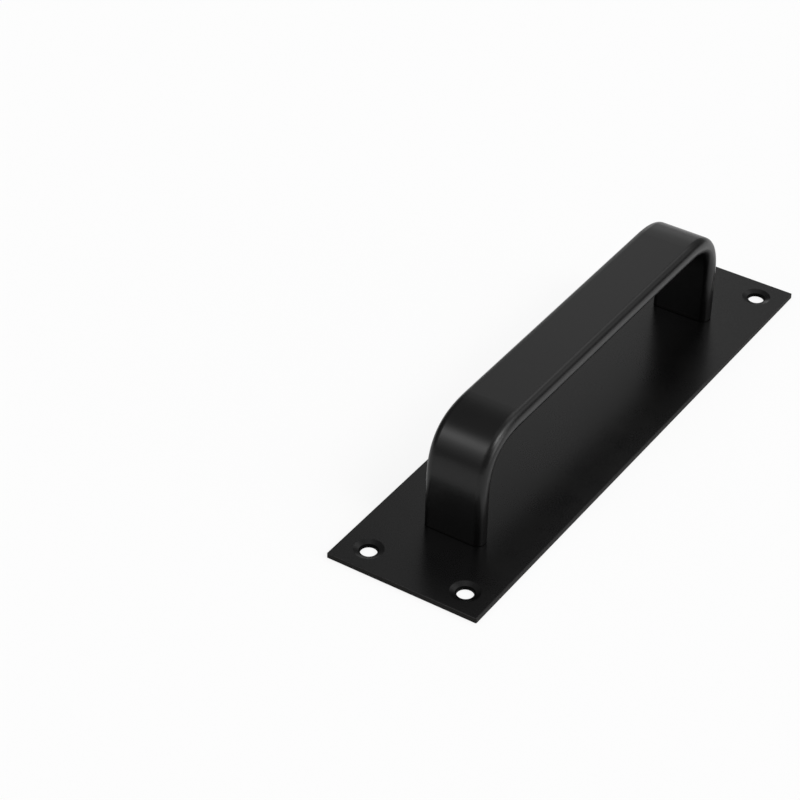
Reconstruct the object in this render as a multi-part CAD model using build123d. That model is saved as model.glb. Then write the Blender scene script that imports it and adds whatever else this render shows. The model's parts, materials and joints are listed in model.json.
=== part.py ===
from build123d import *

import os
from math import radians, tan

# Surface pull handle for a sliding door: a thin steel plate with a flat bar, bent into a bow, on its front.
# Millimetres. The origin is the centre of the plate's back face, which lies against the door.
# +X runs along the plate and the grip, +Y across them, and +Z points away from the door.

# Plate
plate_length = 175.0
plate_width = 45.0
plate_thickness = 1.5
plate_corner_radius = 0.3
plate_edge_rounding = 0.2

# Countersunk holes in the plate's corners, open to the front, for the wood screws that hold the plate
mount_hole_diameter = 4.6
mount_sink_diameter = 8.2
mount_sink_land = 0.8
mount_end_margin = 7.5
mount_side_margin = 7.9

# Bow: a flat bar with rounded sides, bent twice, its two feet square on the plate. Each bend's curve leaves the
# bar's straight middle line at the bend's reach from the corner that it cuts. Its fullness is the share of that
# reach at which the curve's control points lie.
bow_setback = 23.5
bow_projection = 32.5
bar_width = 17.8
bar_thickness = 5.0
bar_side_flat = 0.6
bend_reach = 16.0
bend_fullness = 0.713
foot_chamfer = 0.2

# Countersunk machine screws that hold the bow's feet from behind the plate, side by side in each foot
screw_diameter = 3.0
screw_length = 10.0
screw_spacing = 8.5
screw_cone_angle = 90.0
screw_head_recess = 0.1
screw_sink_land = 0.15
screw_hole_gap = 0.15
screw_thread_gap = 0.05
screw_tip_chamfer = 0.4
screw_tip_gap = 1.2
drill_point_angle = 118.0

# Cross recess in each screw's head
drive_span = 2.8
drive_wing = 0.7
drive_depth = 1.1
drive_draft = 6.0

# Where the pieces meet
plate_front = plate_thickness
leg_offset = plate_length / 2 - bow_setback - bar_thickness / 2
grip_height = plate_front + bow_projection - bar_thickness / 2
bar_corner_radius = (bar_thickness - bar_side_flat) / 2
screw_radius = screw_diameter / 2
cone_slope = tan(radians(screw_cone_angle / 2))
screw_cone_height = plate_thickness - screw_head_recess - screw_sink_land
screw_tip = screw_head_recess + screw_length

mount_places = GridLocations(plate_length - 2 * mount_end_margin, plate_width - 2 * mount_side_margin, 2, 2)
screw_places = GridLocations(2 * leg_offset, screw_spacing, 2, 2)
upright = (Align.CENTER, Align.CENTER, Align.MIN)


def sunk_bore(bore_radius, mouth_radius, land, depth):
    """A bore that stands on Z = 0 and widens above its land into a cone, up to its mouth at the top."""
    bore = Cylinder(bore_radius, depth, align=upright)
    cone = Pos(0, 0, land) * Cone(bore_radius, mouth_radius, depth - land, align=upright)
    return bore + cone


def make_plate():
    """The plate, with its mounting holes sunk from the front and the bow's screw holes sunk from behind."""
    blank = extrude(RectangleRounded(plate_length, plate_width, plate_corner_radius), plate_thickness)
    front_rim = blank.faces().sort_by(Axis.Z)[-1].edges()
    blank = fillet(front_rim, plate_edge_rounding)
    mount_hole = sunk_bore(mount_hole_diameter / 2, mount_sink_diameter / 2, mount_sink_land, plate_thickness)
    bore_land = screw_sink_land + screw_hole_gap / cone_slope
    mouth_radius = screw_radius + (plate_thickness - screw_sink_land) * cone_slope
    screw_hole = sunk_bore(screw_radius + screw_hole_gap, mouth_radius, bore_land, plate_thickness)
    screw_hole_from_behind = Pos(0, 0, plate_thickness) * Rot(180, 0, 0) * screw_hole
    return blank - mount_places * mount_hole - screw_places * screw_hole_from_behind


def make_bend(side):
    """The middle line of one bend, from leg to grip: gentle at its ends and tightest halfway."""
    corner = Vector(side * leg_offset, 0, grip_height)
    down = Vector(0, 0, -bend_reach)
    inward = Vector(-side * bend_reach, 0, 0)
    rest = 1 - bend_fullness
    return Bezier(corner + down, corner + down * rest, corner + inward * rest, corner + inward)


def make_bow():
    """One bar swept up from its first foot, round two bends and down to its second foot."""
    first_bend = make_bend(-1)
    second_bend = make_bend(1)
    first_leg = Line((-leg_offset, 0, plate_front), first_bend @ 0)
    grip = Line(first_bend @ 1, second_bend @ 1)
    second_leg = Line(second_bend @ 0, (leg_offset, 0, plate_front))
    spine = Wire([first_leg, first_bend, grip, second_bend, second_leg])
    section = RectangleRounded(bar_thickness, bar_width, bar_corner_radius)
    bow = sweep(Pos(-leg_offset, 0, plate_front) * section, path=spine)
    foot_rims = bow.edges().group_by(Axis.Z)[0]
    bow = chamfer(foot_rims, foot_chamfer)
    return bow - Pos(0, 0, plate_front) * screw_places * make_tapped_hole()


def make_tapped_hole():
    """A blind hole that stands on Z = 0, with the cone that the drill leaves at its end."""
    hole_radius = screw_radius + screw_thread_gap
    hole_depth = screw_tip + screw_tip_gap - plate_front
    point_height = hole_radius / tan(radians(drill_point_angle / 2))
    wall = Cylinder(hole_radius, hole_depth, align=upright)
    point = Pos(0, 0, hole_depth) * Cone(hole_radius, 0, point_height, align=upright)
    return wall + point


def make_screw():
    """A countersunk screw turned about Z, its head towards the door and its tip in the bow's foot."""
    cone_top = screw_head_recess + screw_cone_height
    head_radius = screw_radius + screw_cone_height * cone_slope
    outline = Polyline(
        (0, screw_head_recess),
        (head_radius, screw_head_recess),
        (screw_radius, cone_top),
        (screw_radius, screw_tip - screw_tip_chamfer),
        (screw_radius - screw_tip_chamfer, screw_tip),
        (0, screw_tip),
        close=True,
    )
    blank = revolve(Plane.XZ * make_face(outline), Axis.Z)
    slot = extrude(Rectangle(drive_span, drive_wing), drive_depth, taper=drive_draft)
    drive = slot + Rot(0, 0, 90) * slot
    return blank - Pos(0, 0, screw_head_recess) * drive


def main():
    nodes = {
        "back_plate": make_plate(),
        "handle_bow": make_bow(),
        "fixing_screws": Compound(screw_places * make_screw()),
    }
    os.makedirs("parts", exist_ok=True)
    for name, shape in nodes.items():
        export_step(shape, f"parts/{name}.step")


main()
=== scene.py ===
import json
from math import cos, radians, sin

import bpy
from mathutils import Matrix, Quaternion, Vector

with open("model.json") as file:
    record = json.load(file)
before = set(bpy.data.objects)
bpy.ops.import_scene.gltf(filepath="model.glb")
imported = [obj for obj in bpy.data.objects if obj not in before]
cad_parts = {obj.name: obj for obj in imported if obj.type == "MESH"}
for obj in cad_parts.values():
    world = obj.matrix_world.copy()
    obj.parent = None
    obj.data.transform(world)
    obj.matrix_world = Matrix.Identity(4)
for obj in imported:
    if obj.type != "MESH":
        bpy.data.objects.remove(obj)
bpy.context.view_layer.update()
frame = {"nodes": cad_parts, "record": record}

# Metres and degrees. A bearing runs from +X towards +Y, and an elevation up from the floor.

# Camera, at the photograph's viewing angle
camera_bearing = -147.639
camera_elevation = 36.497
camera_roll = 1.458
camera_distance = 0.7301
camera_target = Vector((-0.02023, 0.04416, 0.0))
camera_lens_mm = 118.89
camera_near = 0.05
camera_far = 100.0

# Floor paper, which the camera sees mostly as plain white
floor_half_size = 6.0
floor_gap = 0.0002
floor_colour = (0.85, 0.85, 0.85)
floor_white_seen = 0.85

# Painted reflection: in reflections the floor glows plain white in front of the handle, and turns into
# paper between these Y.
floor_glow_until = -0.055
floor_glow_gone_from = 0.0

# Studio walls and ceiling: their brightness at the horizon, at the top of the walls and straight overhead.
# The walls' height is the sine of the elevation at which they end.
walls_low = 0.20
walls_high = 0.35
walls_height = 0.95
ceiling = 1.0

# Softboxes, named as they stand in the camera's view: bearing, elevation, spread, brightness
softboxes = {
    "left_high": (150, 49, 8, 4.5),
    "left_low": (150, 28, 10, 0.8),
    "right_high": (-89, 48, 8, 12.0),
    "right_low": (-82, 11, 11, 5.2),
    "far_right": (-48, 41, 10, 2.2),
    "behind_right": (5, 49, 7, 2.4),
    "behind_low": (31, 14, 6, 2.2),
    "behind_high": (29, 34, 5, 1.0),
}

# Black flags that keep the walls' light off the handle: bearing, elevation, spread, depth
flags = {
    "behind_high": (35, 33, 13, 1.0),
    "behind_left": (96, 20, 21, 0.65),
    "right_low": (-34, 8, 13, 1.0),
    "behind_low": (24, 27, 13, 0.85),
}

# How far a noise texture's values mostly reach, either side of 0.5
noise_low = 0.3
noise_high = 0.7

# Satin black coating. Its roughness wavers with the clouds of tone and with the grain.
coating_dark = (0.0011, 0.0011, 0.0012)
coating_light = (0.0019, 0.0018, 0.0018)
coating_cloud_size = 0.014
coating_grain_size = 0.0003
coating_grain_height = 0.000001
coating_waver = 0.012
plate_roughness = 0.28
plate_ior = 1.37
bow_roughness = 0.30
bow_ior = 1.40

# The plate's cut edges, where the coating is thin and matte
edge_slope_limit = 0.3
edge_colour = (0.017, 0.0165, 0.016)
edge_extra_roughness = 0.17
# This lost shine also darkens the mounting bores and their rims, as painted shade
edge_lost_shine = 0.46
full_shine = 0.5

# Painted shade: the bores of the plate's mounting holes, and a thin rim round each, are as matte as the
# cut edges but stay black and lose shine, a painted dark ring at each hole
mount_holes = next(mount for mount in frame["record"]["mounts"] if mount["kind"] == "bolt_pattern")["dims"]
bore_offset = (mount_holes["spacing_x_mm"] / 2000, mount_holes["spacing_y_mm"] / 2000, 0.0)
shaded_rim_width = 0.00032
shaded_rim_radius = mount_holes["hole_r_mm"] / 1000 + shaded_rim_width

# Zinc plated screws
zinc_blue = (0.56, 0.60, 0.64)
zinc_yellow = (0.66, 0.64, 0.56)
zinc_cloud_size = 0.0015
zinc_roughness_low = 0.24
zinc_roughness_high = 0.40
turning_mark_size = 0.0004
turning_mark_stretch = 6.0
turning_mark_height = 0.000004


def direction(bearing, elevation):
    """The unit vector that points that way from the origin."""
    b = radians(bearing)
    e = radians(elevation)
    return Vector((cos(b) * cos(e), sin(b) * cos(e), sin(e)))


def make_camera():
    back = direction(camera_bearing, camera_elevation)
    data = bpy.data.cameras.new("camera")
    data.lens = camera_lens_mm
    data.clip_start = camera_near
    data.clip_end = camera_far
    camera = bpy.data.objects.new("camera", data)
    camera.location = camera_target + back * camera_distance
    camera.rotation_mode = "QUATERNION"
    roll = Quaternion((0, 0, 1), radians(camera_roll))
    camera.rotation_quaternion = back.to_track_quat("Z", "Y") @ roll
    bpy.context.scene.collection.objects.link(camera)
    bpy.context.scene.camera = camera


class Nodes:
    """A node tree that is written one node at a time."""

    def __init__(self, tree):
        self.tree = tree
        tree.nodes.clear()

    def add(self, kind, **settings):
        node = self.tree.nodes.new("ShaderNode" + kind)
        for key, value in settings.items():
            setattr(node, key, value)
        return node

    def link(self, source, target):
        self.tree.links.new(source, target)

    def math(self, operation, *values):
        """A Math node on sockets or numbers, and its result."""
        node = self.add("Math", operation=operation)
        for socket, value in zip(node.inputs, values):
            if isinstance(value, bpy.types.NodeSocket):
                self.link(value, socket)
            else:
                socket.default_value = value
        return node.outputs["Value"]

    def vector_math(self, operation, source, value=(0, 0, 0)):
        """A Vector Math node on a socket and a constant vector."""
        node = self.add("VectorMath", operation=operation)
        self.link(source, node.inputs[0])
        node.inputs[1].default_value = value
        return node

    def remap(self, source, from_min, from_max, to_min, to_max):
        """A value carried over from one range to another, and held at its ends."""
        node = self.add("MapRange")
        self.link(source, node.inputs["Value"])
        node.inputs["From Min"].default_value = from_min
        node.inputs["From Max"].default_value = from_max
        node.inputs["To Min"].default_value = to_min
        node.inputs["To Max"].default_value = to_max
        return node.outputs["Result"]

    def mix_shaders(self, share, first, second):
        """The first shader, and the second by its share."""
        node = self.add("MixShader")
        self.link(share, node.inputs[0])
        self.link(first.outputs[0], node.inputs[1])
        self.link(second.outputs[0], node.inputs[2])
        return node


def grey(level):
    return (level, level, level, 1)


def soft_spot(nodes, towards, name, bearing, elevation, spread):
    """A round spot of the sky, 1 in its middle, that fades out over its spread."""
    facing = nodes.vector_math("DOT_PRODUCT", towards, direction(bearing, elevation))
    facing.label = name
    off_centre = nodes.math("SUBTRACT", facing.outputs["Value"], 1.0)
    return nodes.math("EXPONENT", nodes.math("DIVIDE", off_centre, radians(spread) ** 2))


def walls_and_ceiling(nodes, towards):
    """The room's own brightness, by the height that a ray looks to."""
    height = nodes.add("SeparateXYZ")
    nodes.link(towards, height.inputs["Vector"])
    room = nodes.add("ValToRGB")
    ramp = room.color_ramp
    ramp.interpolation = "EASE"
    horizon, zenith = ramp.elements
    horizon.color = grey(walls_low)
    zenith.color = grey(ceiling)
    top_of_walls = ramp.elements.new(walls_height)
    top_of_walls.color = grey(walls_high)
    nodes.link(height.outputs["Z"], room.inputs["Fac"])
    return room.outputs["Color"]


def make_world():
    """A white studio with softboxes and flags, which the camera itself sees as plain white."""
    world = bpy.data.worlds.new("studio")
    bpy.context.scene.world = world
    world.use_nodes = True
    nodes = Nodes(world.node_tree)
    towards = nodes.add("TexCoord").outputs["Generated"]
    light = walls_and_ceiling(nodes, towards)
    for name, (bearing, elevation, spread, depth) in flags.items():
        spot = soft_spot(nodes, towards, name, bearing, elevation, spread)
        shade = nodes.math("MULTIPLY", spot, depth)
        light = nodes.math("MULTIPLY", light, nodes.math("SUBTRACT", 1.0, shade))
    for name, (bearing, elevation, spread, brightness) in softboxes.items():
        spot = soft_spot(nodes, towards, name, bearing, elevation, spread)
        light = nodes.math("ADD", light, nodes.math("MULTIPLY", spot, brightness))
    studio = nodes.add("Background")
    studio.inputs["Color"].default_value = grey(1)
    nodes.link(light, studio.inputs["Strength"])
    white = nodes.add("Background")
    white.inputs["Color"].default_value = grey(1)
    seen = nodes.mix_shaders(nodes.add("LightPath").outputs["Is Camera Ray"], studio, white)
    nodes.link(seen.outputs[0], nodes.add("OutputWorld").inputs["Surface"])


def make_floor():
    """A sheet of pale paper just below the plate. It keeps the handle's shadow, and in reflections its
    front part glows white, a painted reflection.
    """
    h = floor_half_size
    z = -floor_gap
    corners = [(-h, -h, z), (h, -h, z), (h, h, z), (-h, h, z)]
    mesh = bpy.data.meshes.new("floor")
    mesh.from_pydata(corners, [], [range(4)])
    floor = bpy.data.objects.new("floor", mesh)
    bpy.context.scene.collection.objects.link(floor)

    material = bpy.data.materials.new("floor_paper")
    material.use_nodes = True
    nodes = Nodes(material.node_tree)
    paper = nodes.add("BsdfDiffuse")
    paper.inputs["Color"].default_value = floor_colour + (1,)
    white = nodes.add("Emission")
    white.inputs["Strength"].default_value = 1.0
    path = nodes.add("LightPath")
    direct = nodes.math("MAXIMUM", path.outputs["Is Camera Ray"], path.outputs["Is Transmission Ray"])
    seen = nodes.math("MULTIPLY", direct, floor_white_seen)
    place = nodes.add("SeparateXYZ")
    nodes.link(nodes.add("NewGeometry").outputs["Position"], place.inputs["Vector"])
    # Painted reflection: the floor in front glows white for glossy rays only
    front_glow = nodes.remap(place.outputs["Y"], floor_glow_until, floor_glow_gone_from, 1.0, 0.0)
    glow_in_reflections = nodes.math("MULTIPLY", path.outputs["Is Glossy Ray"], front_glow)
    surface = nodes.mix_shaders(nodes.math("MAXIMUM", seen, glow_in_reflections), paper, white)
    nodes.link(surface.outputs[0], nodes.add("OutputMaterial").inputs["Surface"])
    mesh.materials.append(material)


def noise(nodes, place, feature_size):
    """Noise whose lumps are about as wide as the feature size, around 0.5."""
    texture = nodes.add("TexNoise")
    nodes.link(place, texture.inputs["Vector"])
    texture.inputs["Scale"].default_value = 1.0 / feature_size
    texture.inputs["Detail"].default_value = 2.0
    return texture.outputs["Fac"]


def spread_out(nodes, fac, low, high):
    """A noise value carried over to the range between low and high."""
    return nodes.remap(fac, noise_low, noise_high, low, high)


def two_tone(nodes, fac, first, second):
    """A colour that drifts between two with the noise."""
    tone = nodes.add("MixRGB")
    tone.inputs["Color1"].default_value = first + (1,)
    tone.inputs["Color2"].default_value = second + (1,)
    nodes.link(spread_out(nodes, fac, 0.0, 1.0), tone.inputs["Fac"])
    return tone.outputs["Color"]


def add_bump(nodes, shader, height, size):
    bump = nodes.add("Bump")
    bump.inputs["Strength"].default_value = 1.0
    bump.inputs["Distance"].default_value = size
    nodes.link(height, bump.inputs["Height"])
    nodes.link(bump.outputs["Normal"], shader.inputs["Normal"])


def cut_edges(nodes):
    """1 on the plate's upright faces, 0 elsewhere."""
    normal = nodes.add("SeparateXYZ")
    nodes.link(nodes.add("NewGeometry").outputs["True Normal"], normal.inputs["Vector"])
    return nodes.math("LESS_THAN", nodes.math("ABSOLUTE", normal.outputs["Z"]), edge_slope_limit)


def bore_shade_mask(nodes, place):
    """1 in the plate's mounting bores and on a thin rim round them, where shade is painted, 0 elsewhere.
    """
    corner = nodes.vector_math("ABSOLUTE", place)
    offset = nodes.vector_math("SUBTRACT", corner.outputs["Vector"], bore_offset)
    flat = nodes.vector_math("MULTIPLY", offset.outputs["Vector"], (1, 1, 0))
    distance = nodes.vector_math("LENGTH", flat.outputs["Vector"])
    return nodes.math("LESS_THAN", distance.outputs["Value"], shaded_rim_radius)


def satin_black(name, roughness, ior, has_cut_edges):
    """Black coating with a satin sheen, slow changes of tone and a fine grain."""
    material = bpy.data.materials.new(name)
    material.use_nodes = True
    nodes = Nodes(material.node_tree)
    place = nodes.add("TexCoord").outputs["Object"]
    clouds = noise(nodes, place, coating_cloud_size)
    grain = noise(nodes, place, coating_grain_size)
    shader = nodes.add("BsdfPrincipled")
    shader.inputs["IOR"].default_value = ior

    colour = two_tone(nodes, clouds, coating_dark, coating_light)
    cloud_waver = spread_out(nodes, clouds, -coating_waver, coating_waver)
    grain_waver = spread_out(nodes, grain, -coating_waver, coating_waver)
    sheen = nodes.math("ADD", nodes.math("ADD", cloud_waver, grain_waver), roughness)
    if has_cut_edges:
        edge = cut_edges(nodes)
        bore_shade = bore_shade_mask(nodes, place)
        bare = nodes.add("MixRGB")
        nodes.link(colour, bare.inputs["Color1"])
        bare.inputs["Color2"].default_value = edge_colour + (1,)
        # The bores keep the coating's black instead of the edge colour, as painted shade
        nodes.link(nodes.math("SUBTRACT", edge, nodes.math("MULTIPLY", edge, bore_shade)), bare.inputs["Fac"])
        colour = bare.outputs["Color"]
        # Cut edges turn matte, and the bores and their rims also lose shine, as painted shade
        matte_edge_and_shade = nodes.math("MAXIMUM", edge, bore_shade)
        sheen = nodes.math("ADD", sheen, nodes.math("MULTIPLY", matte_edge_and_shade, edge_extra_roughness))
        shine = nodes.math("SUBTRACT", full_shine, nodes.math("MULTIPLY", matte_edge_and_shade, edge_lost_shine))
        nodes.link(shine, shader.inputs["Specular IOR Level"])
    nodes.link(colour, shader.inputs["Base Color"])
    nodes.link(sheen, shader.inputs["Roughness"])

    add_bump(nodes, shader, grain, coating_grain_height)
    nodes.link(shader.outputs[0], nodes.add("OutputMaterial").inputs["Surface"])
    return material


def zinc_plate(name):
    """Bright zinc on steel, with faint clouds of blue and yellow and the marks of turning."""
    material = bpy.data.materials.new(name)
    material.use_nodes = True
    nodes = Nodes(material.node_tree)
    place = nodes.add("TexCoord").outputs["Object"]
    clouds = noise(nodes, place, zinc_cloud_size)
    stretched = nodes.add("Mapping")
    nodes.link(place, stretched.inputs["Vector"])
    stretched.inputs["Scale"].default_value = (1.0, 1.0, turning_mark_stretch)
    marks = noise(nodes, stretched.outputs["Vector"], turning_mark_size)
    shader = nodes.add("BsdfPrincipled")
    shader.inputs["Metallic"].default_value = 1.0

    nodes.link(two_tone(nodes, clouds, zinc_blue, zinc_yellow), shader.inputs["Base Color"])
    roughness = spread_out(nodes, marks, zinc_roughness_low, zinc_roughness_high)
    nodes.link(roughness, shader.inputs["Roughness"])

    add_bump(nodes, shader, marks, turning_mark_height)
    nodes.link(shader.outputs[0], nodes.add("OutputMaterial").inputs["Surface"])
    return material


def dress(node, material):
    for slot in frame["nodes"][node].material_slots:
        slot.material = material


bpy.context.scene.view_settings.view_transform = "Standard"
make_camera()
make_world()
make_floor()
dress("back_plate", satin_black("plate_finish", plate_roughness, plate_ior, has_cut_edges=True))
dress("handle_bow", satin_black("bow_finish", bow_roughness, bow_ior, has_cut_edges=False))
dress("fixing_screws", zinc_plate("screw_steel"))
